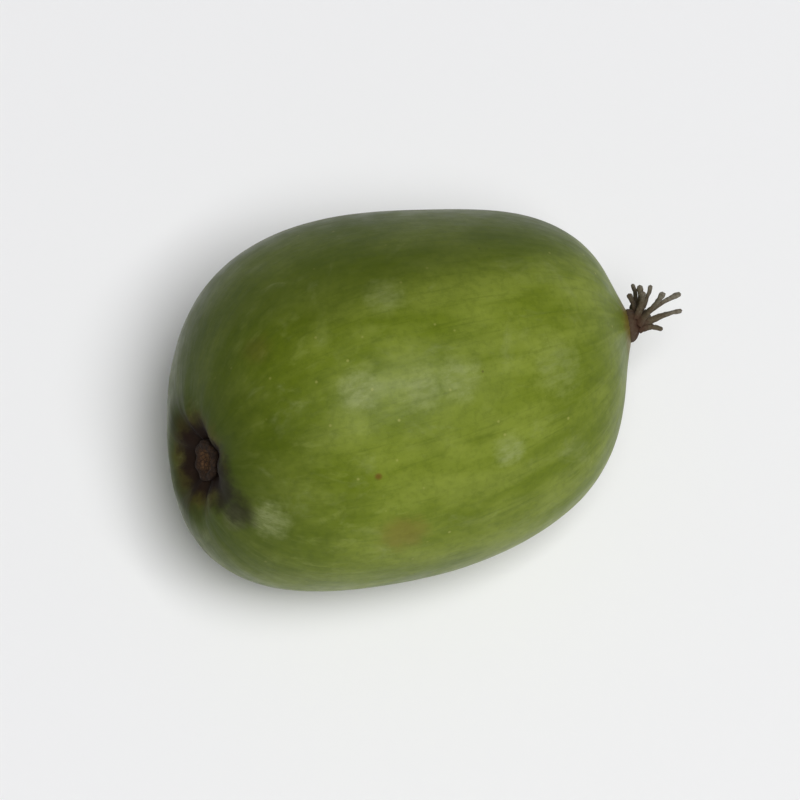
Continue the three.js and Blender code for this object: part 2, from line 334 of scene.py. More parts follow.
# %% [markdown]
# ## Where the fruit lies
#
# The formula has its own origin in the fruit's middle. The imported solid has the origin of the
# part, on the table under the middle of the whole outline. The difference between the two boxes
# is the one step that every piece is moved by, so each piece sits exactly where its solid is.

# %% The step to the part's origin
cad_low, cad_high = (np.array(corner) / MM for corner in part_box("berry"))
own_low, own_high = smooth.reshape(-1, 3).min(0), smooth.reshape(-1, 3).max(0)
STEP = (cad_low + cad_high - own_low - own_high) / 2
STEP[2] = -FLOOR_LEVEL
print("step to the part's origin in mm:", STEP.round(3))


def settled(stack):
    """The same stack, moved from the fruit's own middle to its place in the part."""
    points, quads, fans = stack
    return points + STEP, quads, fans


berry = put_mesh("berry_skin", [settled(ring_stack(rough, STEM_POLE, TIP_POLE))])
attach(berry, "root")
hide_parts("berry")

# %% [markdown]
# ## The grain of the skin
#
# Streaks on the skin run from the stalk to the styles and draw together at both ends, like the
# lines of longitude on a globe. No plain coordinate does that, so the mesh carries its own: how
# far along the fruit each point is, and where it is on a circle round it. The finish reads these
# as a place in space, and because the circle closes, there is no seam.

# %% Coordinates that follow the fruit
def keep_flow(piece):
    """Stores (mm along the line, radius cos a, radius sin a) at each vertex as `flow`."""
    steps = np.linalg.norm(np.diff(smooth, axis=0, prepend=smooth[:1]), axis=-1)
    along = np.cumsum(steps.mean(axis=1))[:, None] + 0 * a
    flow = np.stack([along, 0.5 * WIDTH * np.cos(a), 0.5 * WIDTH * np.sin(a)], axis=-1)
    ends = np.array([[0.0, 0.0, 0.0], [along.max(), 0.0, 0.0]])
    values = np.concatenate([ends[:1], flow.reshape(-1, 3), ends[1:]])
    layer = piece.data.attributes.new("flow", "FLOAT_VECTOR", "POINT")
    layer.data.foreach_set("vector", values.ravel())
    return float(along.max())


print("the line from stalk to styles is", round(keep_flow(berry), 1), "mm long")

# %% [markdown]
# ## Caps that follow the skin
#
# The scar and the withered disc are both thin caps that lie on a pole of the fruit. Their under
# side follows the skin and is sunk a little into it, as it grew there, and their upper side
# stands off by a thickness that changes from the middle to the rim. The number of rings near
# the rim is high enough for a rounded edge.

# %% Pole caps
SUNK, GAP = 0.12, 0.12
LATITUDE_STEPS = 4000


def latitude_of(pole, facing, radius):
    """The angle s at which the skin is `radius` from its pole, read off a fine list of angles."""
    s = np.linspace(pole, math.pi / 2, LATITUDE_STEPS)
    points = skin(s, np.full_like(s, math.pi / 2))
    return float(np.interp(radius, off_axis(points, points[0], facing), s))


def pole_cap(pole, radius, lift, rings, sides):
    """A closed cap: rings out along the sunken under side, then back in over the top.

    lift(share, a) is the height of the top over the skin, and share runs from 0 to 1 at the rim.
    """
    facing = PIT_FACING if pole == 0 else STYLES_FACING
    reach = latitude_of(pole, facing, radius)

    def cover(share, a, off):
        return skin(pole + (reach - pole) * share, a) + np.asarray(off)[..., None] * facing

    share = np.sin(0.5 * math.pi * np.arange(1, rings + 1) / rings)
    grid, a = np.meshgrid(share, 2 * math.pi * np.arange(sides) / sides, indexing="ij")
    under = cover(grid, a, -SUNK)
    over = cover(grid, a, lift(grid, a))[::-1]
    middle = np.zeros(())
    last = cover(middle, middle, lift(middle, middle))
    return ring_stack(np.concatenate([under, over]), cover(middle, middle, -SUNK), last)


# %% [markdown]
# ## The corky scar
#
# Where the stalk snapped off, the fruit healed with cork. It has a raised, knobbly ring, a sunken
# middle with the broken ends of the sap strands in a circle, and a ragged edge. Cork isn't
# smooth, so the lift of the cap has unevenness at two sizes besides its ring and its strands.

# %% Scar
SCAR_RADIUS, SCAR_THICKNESS, SCAR_RIM = 1.2, 0.5, 0.22
SCAR_RIM_AT, SCAR_RIM_WIDTH = 0.7, 0.2
SCAR_EDGE, SCAR_EDGE_POWER = 0.92, 8
SCAR_GRID = (56, 160)
KNOBS = ((0.3, 0.1, 41), (0.12, 0.06, 42))  # width, share of the height, seed
STRANDS = 9
STRAND_AT, STRAND_WIDTH, STRAND_HEIGHT = 0.36, 0.075, 0.07


def scar_lift(share, a):
    """Cap height: a rounded disc, a Gaussian ring, strand ends in a circle and rough cork."""
    ring = SCAR_RIM * np.exp(-(((share - SCAR_RIM_AT) / SCAR_RIM_WIDTH) ** 2))
    plan = np.stack([share * np.cos(a), share * np.sin(a), 0 * a], axis=-1)
    cork = 1 + sum(h * uneven(plan, width, seed) for width, h, seed in KNOBS)
    turn = 2 * math.pi / STRANDS
    beside = share * np.sin(np.mod(a, turn) - turn / 2)
    strands = np.exp(-((beside / STRAND_WIDTH) ** 2 + ((share - STRAND_AT) / STRAND_WIDTH) ** 2))
    body = (SCAR_THICKNESS - SCAR_RIM + ring) * cork + STRAND_HEIGHT * strands
    return GAP + body * np.sqrt(np.maximum(0, 1 - SCAR_EDGE * share**SCAR_EDGE_POWER))


scar = put_mesh("corky_scar", [settled(pole_cap(0, SCAR_RADIUS, scar_lift, *SCAR_GRID))])
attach(scar, "root")
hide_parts("stem_scar")

# %% [markdown]
# ## The tuft of dried styles
#
# The flower's styles stay on the fruit and dry to stiff, bent, dark threads on a withered disc.
# A particle system or hair curves would be lost when the model is handed on, so each thread is a
# real tube: a path with rings of points carried along it. Their number, places and lengths are
# the same steady draws as in the solid model, and the finer tubes add wrinkles, a flattened
# section that twists as it dries, and a crumpled end where the stigma was.

# %% Threads of the tuft
STYLE_COUNT, STYLE_LENGTH, STYLE_SHORTEST = 12, 3.3, 0.4
STYLE_CURL, STYLE_JITTER = 0.25, 0.3
STYLE_ROOT, STYLE_TIP, STYLE_THIN = 0.26, 0.14, 0.8
STYLE_KNOB, STYLE_KNOB_AT, STYLE_KNOB_WIDTH = 0.3, 0.93, 0.08
STYLE_SPREAD, STYLE_OPENING = 0.95, 0.45
ROOT_REACH, TUFT_LEAN, TUFT_RISE = 0.6, 0.7, 0.15
DISC_RADIUS, DISC_THICKNESS, DISC_EDGE = 1.0, 0.5, 0.2
FIRST_DRAW = 2050
GOLDEN_ANGLE = math.pi * (3 - math.sqrt(5))


def tuft_axes():
    """The tuft's own axis and the two directions across it, leaning aside and a little up."""
    sideways = np.array([0, math.cos(TUFT_RISE), math.sin(TUFT_RISE)])
    axis = math.cos(TUFT_LEAN) * STYLES_FACING + math.sin(TUFT_LEAN) * sideways
    aside = math.cos(TUFT_LEAN) * sideways - math.sin(TUFT_LEAN) * STYLES_FACING
    return axis, aside, np.cross(axis, aside)


def style_path(i, t):
    """Points of thread i for t from 0 to 1: out near the axis, then bent away and turned aside."""
    axis, aside, across = tuft_axes()
    draw = FIRST_DRAW + i
    share = (i + 0.5) / STYLE_COUNT
    around = i * GOLDEN_ANGLE + STYLE_JITTER * (2 * steady(draw, 1) - 1)
    spread = STYLE_SPREAD * math.sqrt(share)
    length = STYLE_LENGTH * (STYLE_SHORTEST + (1 - STYLE_SHORTEST) * steady(draw, 2))
    curl = STYLE_CURL * (2 * steady(draw, 3) - 1)
    radial = aside * math.cos(around) + across * math.sin(around)
    turned = np.cross(axis, radial)
    on_disc = np.array([0, math.cos(around), math.sin(around)])
    root = TIP_POLE + ROOT_REACH * DISC_RADIUS * math.sqrt(share) * on_disc
    root = root + np.array([GAP + 0.5 * DISC_THICKNESS, 0, 0])
    lean = (spread * (STYLE_OPENING + (1 - STYLE_OPENING) * t))[:, None]
    t = t[:, None]
    outwards = np.cos(lean) * axis + np.sin(lean) * radial
    return root + length * (t * outwards + curl * t * t * turned)


# %% [markdown]
# Each thread gets a section that isn't round: it dried flat, twisted and ridged. The function of
# the section takes the place along the thread and the angle round it, and gives the radius.

# %% Section of a thread
TUBE_RINGS, TUBE_SIDES = 44, 14
TUBE_CROSS = np.array([0.31, 0.17, 0.94])  # a direction that no thread takes
END_ROUND, START_SUNK = 0.6, 0.05
INSIDE_SOLID = 0.94
TAPER_POWER = 0.7
WAVER_HEIGHT, WAVER_WIDTH, WAVER_APART, WAVER_SEED = 0.05, 0.5, 3.0, 51
FLATTENED, FLAT_TWIST = 0.22, 5
RIDGES, RIDGE_HEIGHT, RIDGE_TWIST = 5, 0.09, 7
WRINKLE_HEIGHT, WRINKLE_WIDTH, WRINKLE_RUN, WRINKLE_SEED = 0.16, 0.45, 6, 61


def along_path(path, radius_of, sides):
    """A closed tube: rings square to the path, whose section radius_of(t, around) may vary."""
    heading = np.gradient(path, axis=0)
    heading = heading / np.linalg.norm(heading, axis=1, keepdims=True)
    across = np.cross(heading, TUBE_CROSS)
    across = across / np.linalg.norm(across, axis=1, keepdims=True)
    upward = np.cross(heading, across)
    t = np.linspace(0, 1, len(path))[:, None]
    around = 2 * math.pi * np.arange(sides)[None] / sides
    radius = radius_of(t, around)[..., None]
    level = np.cos(around)[..., None] * across[:, None]
    upright = np.sin(around)[..., None] * upward[:, None]
    rings = path[:, None] + radius * (level + upright)
    end = path[-1] + END_ROUND * radius[-1].mean() * heading[-1]
    return ring_stack(rings, path[0] - START_SUNK * heading[0], end)


def style(i):
    """Thread i of the tuft, with its wrinkles, its twist and its crumpled end."""
    draw = FIRST_DRAW + i
    t = np.linspace(0, 1, TUBE_RINGS)
    path = style_path(i, t)
    waver = np.stack([path[:, 0], path[:, 1], np.full(TUBE_RINGS, WAVER_APART * i)], axis=-1)
    for k in range(3):
        path[:, k] += WAVER_HEIGHT * t * uneven(waver, WAVER_WIDTH, WAVER_SEED + k)
    girth = STYLE_THIN + (1 - STYLE_THIN) * steady(draw, 4)

    def radius_of(t, around):
        knob = STYLE_KNOB * np.exp(-(((t - STYLE_KNOB_AT) / STYLE_KNOB_WIDTH) ** 2))
        taper = STYLE_ROOT + (STYLE_TIP - STYLE_ROOT) * t**TAPER_POWER
        plain = INSIDE_SOLID * girth * taper * (1 + knob)
        flattened = 1 + FLATTENED * np.cos(2 * around + FLAT_TWIST * t + i)
        ridges = 1 + RIDGE_HEIGHT * np.cos(RIDGES * around - RIDGE_TWIST * t + 2 * i)
        t, around = np.broadcast_arrays(t, around)
        place = np.stack([WRINKLE_RUN * t, np.cos(around) + i, np.sin(around)], axis=-1)
        wrinkles = 1 + WRINKLE_HEIGHT * uneven(place, WRINKLE_WIDTH, WRINKLE_SEED)
        return plain * flattened * ridges * wrinkles

    return along_path(path, radius_of, TUBE_SIDES)


# %% [markdown]
# The withered disc under the threads is a puckered button, darkest in its middle, with folds
# that run out to a thin curled edge. The threads are sunk into it, as they grew from it.

# %% Disc and tuft in one piece
DISC_FOLDS, FOLD_HEIGHT, FOLD_WIDTH, FOLD_WANDER, FOLD_SEED = 11, 0.05, 0.5, 2, 71
CRUMPLE_HEIGHT, CRUMPLE_WIDTH, CRUMPLE_SEED = 0.14, 0.22, 72
DISC_GAP = 0.6 * GAP
DISC_GRID = (30, 96)


def disc_lift(share, a):
    """Cap height: a low dome down to a thin edge, with radial folds and small wrinkles."""
    dome = DISC_THICKNESS * np.sqrt(np.maximum(0, 1 + DISC_EDGE**2 - share**2))
    plan = np.stack([share * np.cos(a), share * np.sin(a), 0 * a], axis=-1)
    wander = FOLD_WANDER * uneven(plan, FOLD_WIDTH, FOLD_SEED)
    folds = FOLD_HEIGHT * np.cos(DISC_FOLDS * a + wander) * share
    crumpled = 1 + CRUMPLE_HEIGHT * uneven(plan, CRUMPLE_WIDTH, CRUMPLE_SEED)
    return DISC_GAP + dome * crumpled + folds


threads = [settled(style(i)) for i in range(STYLE_COUNT)]
disc = settled(pole_cap(math.pi, DISC_RADIUS, disc_lift, *DISC_GRID))
tuft = put_mesh("dried_tuft", [disc, *threads])
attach(tuft, "root")
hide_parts("dried_styles")

# %% [markdown]
# ## Finishes
#
# All three finishes are worked out from nodes, so that they hold at any distance. They read
# Object coordinates, which stay fixed to the fruit from every side, or the `flow` of the skin.
# A few short helpers keep each finish readable: one puts in a node and joins its inputs, and the
# others are the patterns that every finish uses. The numbers of a pattern stand in a small table
# beside the finish that they are for, so each can be changed without looking for its node.

# %% Node helpers
SRGB_KNEE, SRGB_LINE, SRGB_LIFT, SRGB_POWER = 0.04045, 12.92, 0.055, 2.4


def put(tree, kind, settings=None, **inputs):
    """Adds a node. An input that is another node's output is linked and any other is set."""
    node = tree.nodes.new(kind)
    for name, value in (settings or {}).items():
        setattr(node, name, value)
    for name, value in inputs.items():
        number = name[1:]
        socket = node.inputs[int(number) if number.isdigit() else name.replace("_", " ")]
        if isinstance(value, bpy.types.NodeSocket):
            tree.links.new(value, socket)
        else:
            socket.default_value = value
    return node


def colour(code):
    """A colour written as on a screen, such as "6b7a33", as linear red, green, blue and 1."""
    parts = [int(code[k : k + 2], 16) / 255 for k in (0, 2, 4)]
    curve = [((p + SRGB_LIFT) / (1 + SRGB_LIFT)) ** SRGB_POWER for p in parts]
    return [p / SRGB_LINE if p <= SRGB_KNEE else c for p, c in zip(parts, curve)] + [1]


def number_node(tree, operation, first, second):
    """One sum on two numbers."""
    return put(tree, "ShaderNodeMath", {"operation": operation}, _0=first, _1=second).outputs[0]


def vector_node(tree, operation, first, second, output="Vector"):
    """One sum on two triples of numbers."""
    node = put(tree, "ShaderNodeVectorMath", {"operation": operation}, _0=first, _1=second)
    return node.outputs[output]


def fruit_place(tree):
    """Object coordinates in millimetres."""
    coords = put(tree, "ShaderNodeTexCoord")
    return vector_node(tree, "MULTIPLY", coords.outputs["Object"], [1 / MM] * 3)


def distance_to(tree, point):
    """Millimetres from a point of the part, which is given in the fruit's own millimetres."""
    centre = [float(v) for v in point + STEP]
    return vector_node(tree, "DISTANCE", fruit_place(tree), centre, "Value")


def noise(tree, place, width, detail, roughness, distortion=0.0):
    """Cloudy noise from 0 to 1 with patches about `width` millimetres wide."""
    node = put(tree, "ShaderNodeTexNoise", Vector=place, Scale=1 / width, Detail=detail,
               Roughness=roughness, Distortion=distortion)
    return node.outputs["Fac"]


def between(tree, value, low, high, to_low=0.0, to_high=1.0):
    """A smooth step: to_low where value is low, to_high where it is high."""
    node = put(tree, "ShaderNodeMapRange", {"interpolation_type": "SMOOTHSTEP"}, Value=value,
               From_Min=low, From_Max=high, To_Min=to_low, To_Max=to_high)
    return node.outputs["Result"]


def tint(tree, amount, under, over):
    """Lays the colour `over` on `under` by `amount`."""
    settings = {"data_type": "RGBA"}
    return put(tree, "ShaderNodeMix", settings, _0=amount, _6=under, _7=over).outputs[2]


def new_finish(name, sockets):
    """A material whose shader has the values that are the same everywhere on the piece."""
    material = bpy.data.materials.new(name)
    material.use_nodes = True
    shader = material.node_tree.nodes["Principled BSDF"]
    for socket, value in sockets.items():
        shader.inputs[socket].default_value = value
    return material, material.node_tree, shader


def dress(tree, shader, base, height, strength, depth):
    """Joins the colour to the shader, and the height as a bump `depth` millimetres deep."""
    bump = put(tree, "ShaderNodeBump", Strength=strength, Distance=depth * MM, Height=height)
    tree.links.new(base, shader.inputs["Base Color"])
    tree.links.new(bump.outputs["Normal"], shader.inputs["Normal"])


# %% [markdown]
# ## The greens of the skin
#
# Ripe skin is olive green, never one green: cloudy patches of yellow-green and deeper green,
# and faint streaks that run lengthwise over the seed rows. They are laid one on another from the
# broadest to the finest, each by its own noise, which is drawn out along the fruit. Pale and
# brownish pores lie over them, a few to the square millimetre at most.

# %% Greens and pores
DEEP_GREEN, MID_GREEN, YELLOW_GREEN = colour("435210"), colour("647319"), colour("7c8933")
FLECK_GREEN, PORE_PALE, PORE_BROWN = colour("869244"), colour("97994f"), colour("4c4420")
GREEN_LAYERS = (  # across, along, detail, roughness, distortion, starts, full, most, colour
    (3.6, 7.5, 3.0, 0.55, 0.3, 0.36, 0.66, 1.0, YELLOW_GREEN),
    (1.8, 3.4, 3.0, 0.6, 0.5, 0.42, 0.74, 0.26, DEEP_GREEN),
    (0.8, 7.0, 3.0, 0.6, 0.0, 0.46, 0.74, 0.28, YELLOW_GREEN),
    (0.3, 4.5, 2.0, 0.6, 0.0, 0.52, 0.76, 0.22, DEEP_GREEN),
)
MOTTLE_NOISE, MOTTLE_STEP = (0.45, 4.0, 0.65), (0.4, 0.7, 0.0, 0.25)
FLECK_SIZE, FLECK_NOISE, FLECK_STEP = (0.9, 1.9), (1.0, 3.0, 0.6, 0.4), (0.54, 0.74)
FLECKS_TO_STALK = (16.0, 7.0, 0.15, 0.5)
PORES = (  # spacing, radius, share of the cells that have one, colour, strength
    (1.1, 0.13, 0.5, PORE_PALE, 0.6),
    (2.3, 0.11, 0.3, PORE_BROWN, 0.6),
)
PORE_CORE = 0.3


def flowing(tree, across, along):
    """A place for noise that follows the fruit: features so wide across and along it, in mm."""
    flow = put(tree, "ShaderNodeAttribute", {"attribute_name": "flow"}).outputs["Vector"]
    return vector_node(tree, "MULTIPLY", flow, (1 / along, 1 / across, 1 / across))


def skin_greens(tree):
    """Green on green, from the broadest patches down to the finest streaks and flecks."""
    base = MID_GREEN
    for across, along, detail, roughness, distortion, starts, full, most, over in GREEN_LAYERS:
        layer = noise(tree, flowing(tree, across, along), 1.0, detail, roughness, distortion)
        base = tint(tree, between(tree, layer, starts, full, 0.0, most), base, over)
    mottle = between(tree, noise(tree, fruit_place(tree), *MOTTLE_NOISE), *MOTTLE_STEP)
    base = tint(tree, mottle, base, DEEP_GREEN)
    flecks = between(tree, noise(tree, flowing(tree, *FLECK_SIZE), *FLECK_NOISE), *FLECK_STEP)
    near_stalk = between(tree, distance_to(tree, STEM_POLE), *FLECKS_TO_STALK)
    return tint(tree, number_node(tree, "MULTIPLY", flecks, near_stalk), base, FLECK_GREEN)


def pores(tree, base, spacing, radius, share, over, strength):
    """Small round spots: in each cell of a Voronoi grid `spacing` wide, a spot round its point.

    Only the cells whose own random number is under `share` get one.
    """
    cells = put(tree, "ShaderNodeTexVoronoi", Vector=fruit_place(tree), Scale=1 / spacing)
    draw = put(tree, "ShaderNodeSeparateColor", Color=cells.outputs["Color"]).outputs[0]
    chosen = number_node(tree, "LESS_THAN", draw, share)
    reach = radius / spacing
    near = between(tree, cells.outputs["Distance"], reach, PORE_CORE * reach)
    amount = number_node(tree, "MULTIPLY", number_node(tree, "MULTIPLY", near, chosen), strength)
    return tint(tree, amount, base, over)


# %% [markdown]
# ## Marks that sit at one spot
#
# The wax bloom is rubbed off in places and lies in pale patches elsewhere. The two patches just
# right of the fruit's middle are a painted highlight. This fruit has a brown-red dot, two faint
# brownish patches, and a dark patch beside its pit that is partly stain and partly painted shade.
# Such marks are placed as the camera sees them: so many millimetres to the right of the fruit's
# middle and above it. The point of the skin that shows there is looked up once, and the finish
# then measures the distance from that point.

# %% Marks on the skin
VIEW_AZIMUTH, VIEW_ELEVATION = -17, 71
# Pale marks: wax bloom, and the two just right of the middle are a painted highlight.
BLOOM_AND_HIGHLIGHT_MARKS = (  # right, up, radius, strength
    (6.5, -2.9, 1.3, 0.75),
    (1.2, 0.6, 1.7, 0.6),
    (3.6, 1.3, 1.8, 0.55),
    (-2.4, 0.6, 1.6, 0.75),
    (-7.8, -7.2, 1.7, 0.7),
    (-10.0, -7.0, 1.2, 0.6),
    (-1.0, 6.2, 1.6, 0.35),
    (9.5, 2.0, 2.4, 0.35),
)
BLUSH_MARKS = ((0.3, -8.0, 2.0, 0.45), (-8.6, 3.0, 1.3, 0.3))
# Dark marks beside the pit: partly stain and partly painted shade at the stem end.
STAIN_AND_SHADE_MARKS = (
    (-11.8, -1.8, 1.7, 0.7),
    (-11.2, -3.1, 2.0, 0.9),
    (-10.9, -4.4, 2.2, 0.95),
    (-10.5, -5.6, 2.1, 0.9),
    (-9.8, -6.6, 1.8, 0.8),
    (-12.9, -2.0, 3.0, 0.6),
    (-12.7, -5.4, 2.6, 0.5),
)
RED_DOT = (-1.3, -4.6, 0.3, 0.6)
RAGGED_MARK, RAGGED_DOT = 0.5, 0.3
MARK_NOISE, MARK_CORE = (0.9, 4.0, 0.65), 0.25


def view_axes(azimuth, elevation):
    """Right, up and back of a camera there, as rows. Azimuth 0 is in front, on -Y."""
    az, el = math.radians(azimuth), math.radians(elevation)
    back = np.array([math.sin(az) * math.cos(el), -math.cos(az) * math.cos(el), math.sin(el)])
    right = np.array([math.cos(az), math.sin(az), 0])
    return np.stack([right, np.cross(back, right), back])


def seen_middle():
    """The point that lies in the middle of the fruit's outline when the camera sees it."""
    axes = view_axes(VIEW_AZIMUTH, VIEW_ELEVATION)
    seen = (rough.reshape(-1, 3) + STEP) @ axes.T
    return axes.T @ ((seen.min(0) + seen.max(0)) / 2)


def point_seen(right, up):
    """The nearest point of the skin that shows so far right of and above the outline's middle."""
    axes = view_axes(VIEW_AZIMUTH, VIEW_ELEVATION)
    seen = (rough.reshape(-1, 3) + STEP - seen_middle()) @ axes.T
    miss = np.hypot(seen[:, 0] - right, seen[:, 1] - up) + np.where(seen[:, 2] < 0, LENGTH, 0)
    return rough.reshape(-1, 3)[int(np.argmin(miss))]


def marked(tree, marks, ragged=RAGGED_MARK):
    """The strongest of several soft round marks, with a ragged edge: 1 in full, 0 outside."""
    wander = noise(tree, fruit_place(tree), *MARK_NOISE)
    wander = number_node(tree, "MULTIPLY", wander, 2 * ragged)
    total = 0.0
    for right, up, radius, strength in marks:
        away = number_node(tree, "DIVIDE", distance_to(tree, point_seen(right, up)), radius)
        away = number_node(tree, "ADD", away, wander)
        mark = between(tree, away, 1 + ragged, MARK_CORE + ragged, 0.0, strength)
        total = number_node(tree, "MAXIMUM", total, mark)
    return total


print("the red dot is at", point_seen(*RED_DOT[:2]).round(2))

# %% [markdown]
# ## Painted shade on one side
#
# One side, towards the top and a little to the left as the camera sees it, is painted a deeper
# green. This is painted shade, as of a shadow falling on that side, and not a colour that the skin
# has. It could be painted on as a mark, but a round mark that size shows its edge. So the depth of
# the green follows the distance in one direction, and fades again on the far side of the fruit.

# %% Painted shade: deeper green on one side
PAINTED_SHADE_RIGHT, PAINTED_SHADE_UP = -0.3, 1.0
PAINTED_SHADE_STEP = (3.4, 8.2, 0.0, 0.62)
PAINTED_SHADE_NOISE, PAINTED_SHADE_WANDER = (2.5, 3.0, 0.6), 1.6
FAR_STEP = (-1.0, -7.0, 1.0, 0.25)


def reach_towards(tree, direction):
    """Millimetres from the middle of the outline in one direction, as a dot product."""
    reach = vector_node(tree, "DOT_PRODUCT", fruit_place(tree), direction.tolist(), "Value")
    return number_node(tree, "SUBTRACT", reach, float(seen_middle() @ direction))


def painted_shade_side(tree):
    """How deep the painted shade is: more towards one side, and less behind it."""
    right, up, back = view_axes(VIEW_AZIMUTH, VIEW_ELEVATION)
    towards = (PAINTED_SHADE_RIGHT * right + PAINTED_SHADE_UP * up) / math.hypot(PAINTED_SHADE_RIGHT, PAINTED_SHADE_UP)
    wander = noise(tree, fruit_place(tree), *PAINTED_SHADE_NOISE)
    wander = number_node(tree, "SUBTRACT", wander, 0.5)
    wander = number_node(tree, "MULTIPLY", wander, PAINTED_SHADE_WANDER)
    reach = number_node(tree, "ADD", reach_towards(tree, towards), wander)
    far = between(tree, reach_towards(tree, back), *FAR_STEP)
    return number_node(tree, "MULTIPLY", between(tree, reach, *PAINTED_SHADE_STEP), far)


# %% [markdown]
# ## The two ends
#
# Towards the stalk the green deepens, partly as the fruit's own colour and partly as painted shade
# over that end. Round the pit it turns to russet and then to the dark brown of skin that has
# corked over, deepened to near black as painted shade in the hollow. A narrow russet ring goes
# round the styles too. Each of
# these is bounded by the distance from its pole, less an uneven amount, so no edge is a circle.

# %% Ends of the fruit
# The deep green serves the stalk end, where it is partly the fruit's own colour and partly painted
# shade, and also the painted shade on one side. The dark brown beside the pit is partly stain and
# partly painted shade. The near black of the pit is its brown lining deepened by painted shade.
STALK_AND_SHADE_GREEN, STAIN_AND_SHADE_BROWN = colour("333f0e"), colour("211c0f")
RUSSET, PIT_BROWN_AND_SHADE = colour("6b5426"), colour("1d110b")
RAGGED_NOISE, RAGGED_BY = (0.8, 4.0, 0.65), 2.0
STALK_AND_SHADE_STEP = (11.0, 1.5, 0.0, 0.9)  # each step: from and to in mm, amount there and here
RUSSET_STEP, PIT_AND_SHADE_STEP = (2.9, 1.3, 0.0, 0.4), (2.2, 1.0, 0.0, 0.97)
STYLES_STEP = (1.9, 0.3, 0.0, 0.75)


def ragged_distance(tree, pole):
    """Millimetres from a pole, less an uneven amount."""
    ragged = noise(tree, fruit_place(tree), *RAGGED_NOISE)
    ragged = number_node(tree, "MULTIPLY", ragged, RAGGED_BY)
    return number_node(tree, "SUBTRACT", distance_to(tree, pole), ragged)


def skin_ends_and_shade(tree, base):
    """Deepens the green at the stalk, partly as painted shade, lays painted shade on one side, and
    puts russet at pit and styles.
    """
    from_pit, from_tip = ragged_distance(tree, STEM_POLE), ragged_distance(tree, TIP_POLE)
    # Deeper green towards the stalk: partly the fruit's own colour, partly painted shade.
    base = tint(tree, between(tree, from_pit, *STALK_AND_SHADE_STEP), base, STALK_AND_SHADE_GREEN)
    # Painted shade: a deeper green laid towards one side.
    base = tint(tree, painted_shade_side(tree), base, STALK_AND_SHADE_GREEN)
    base = tint(tree, between(tree, from_pit, *RUSSET_STEP), base, RUSSET)
    return tint(tree, between(tree, from_tip, *STYLES_STEP), base, RUSSET)


def stained_and_shaded(tree, base):
    """Lays the dark marks beside the pit, partly stain and partly painted shade, and the pit's
    brown deepened by painted shade, over the rest.
    """
    # Partly stain, partly painted shade beside the pit.
    base = tint(tree, marked(tree, STAIN_AND_SHADE_MARKS), base, STAIN_AND_SHADE_BROWN)
    from_pit = ragged_distance(tree, STEM_POLE)
    # The pit's brown lining, deepened to near black as painted shade in the hollow.
    return tint(tree, between(tree, from_pit, *PIT_AND_SHADE_STEP), base, PIT_BROWN_AND_SHADE)


# %% [markdown]
# ## The whole skin
#
# A greyish wax bloom lies over the greens, broken into lengthwise flecks where it is rubbed. Just
# right of the fruit's middle it is also a painted highlight. The stains, partly painted shade, lie
# over the bloom. The gloss is a soft one, because wax scatters it, and it is duller where the
# bloom is thick and round the pit. A little light goes into the skin and comes out again, so the
# shader has some subsurface. A low specular level keeps the pale table from washing out the
# fruit's edge.

# %% Skin finish
# The pale grey is laid as wax bloom and, near the middle of the fruit, as a painted highlight.
BLOOM_AND_HIGHLIGHT_GREY, BLUSH, DOT_RED = colour("a7ae7c"), colour("75602a"), colour("683419")
BLOOM_NOISE, BLOOM_STEP = (3.4, 4.0, 0.62, 0.8), (0.54, 0.8, 0.0, 0.5)
RUBBED_SIZE, RUBBED_NOISE, RUBBED_STEP = (0.5, 1.3), (1.0, 4.0, 0.7), (0.36, 0.64, 0.4, 1.0)
BLOOM_AND_HIGHLIGHT_AMOUNT, BLOOM_DULL = 0.54, 0.15
WORN_NOISE, WORN_STEP = (1.6, 3.0, 0.6), (0.3, 0.7, 0.34, 0.44)
CORKY_STEP = (5.0, 2.5, 0.0, 0.35)
GRAIN_NOISE, GRAIN_SHARE = (0.22, 3.0, 0.6), 0.35
SOFT_SIZE, SOFT_NOISE = (0.7, 2.0), (1.0, 2.0, 0.5)
SKIN_BUMP = (0.4, 0.05)  # strength, and depth in mm
SKIN_SOCKETS = {
    "IOR": 1.4,
    "Specular IOR Level": 0.16,
    "Subsurface Weight": 0.06,
    "Subsurface Radius": (1.0, 1.2, 0.35),
    "Subsurface Scale": 1.0 * MM,
}


def wax_bloom_and_highlight(tree):
    """How thick the wax is, with the painted highlight laid in it: stray patches and the placed
    ones, broken where it is rubbed.
    """
    stray = between(tree, noise(tree, fruit_place(tree), *BLOOM_NOISE), *BLOOM_STEP)
    bloom_and_highlight = number_node(tree, "MAXIMUM", stray, marked(tree, BLOOM_AND_HIGHLIGHT_MARKS))
    rubbed = between(tree, noise(tree, flowing(tree, *RUBBED_SIZE), *RUBBED_NOISE), *RUBBED_STEP)
    return number_node(tree, "MULTIPLY", bloom_and_highlight, rubbed)


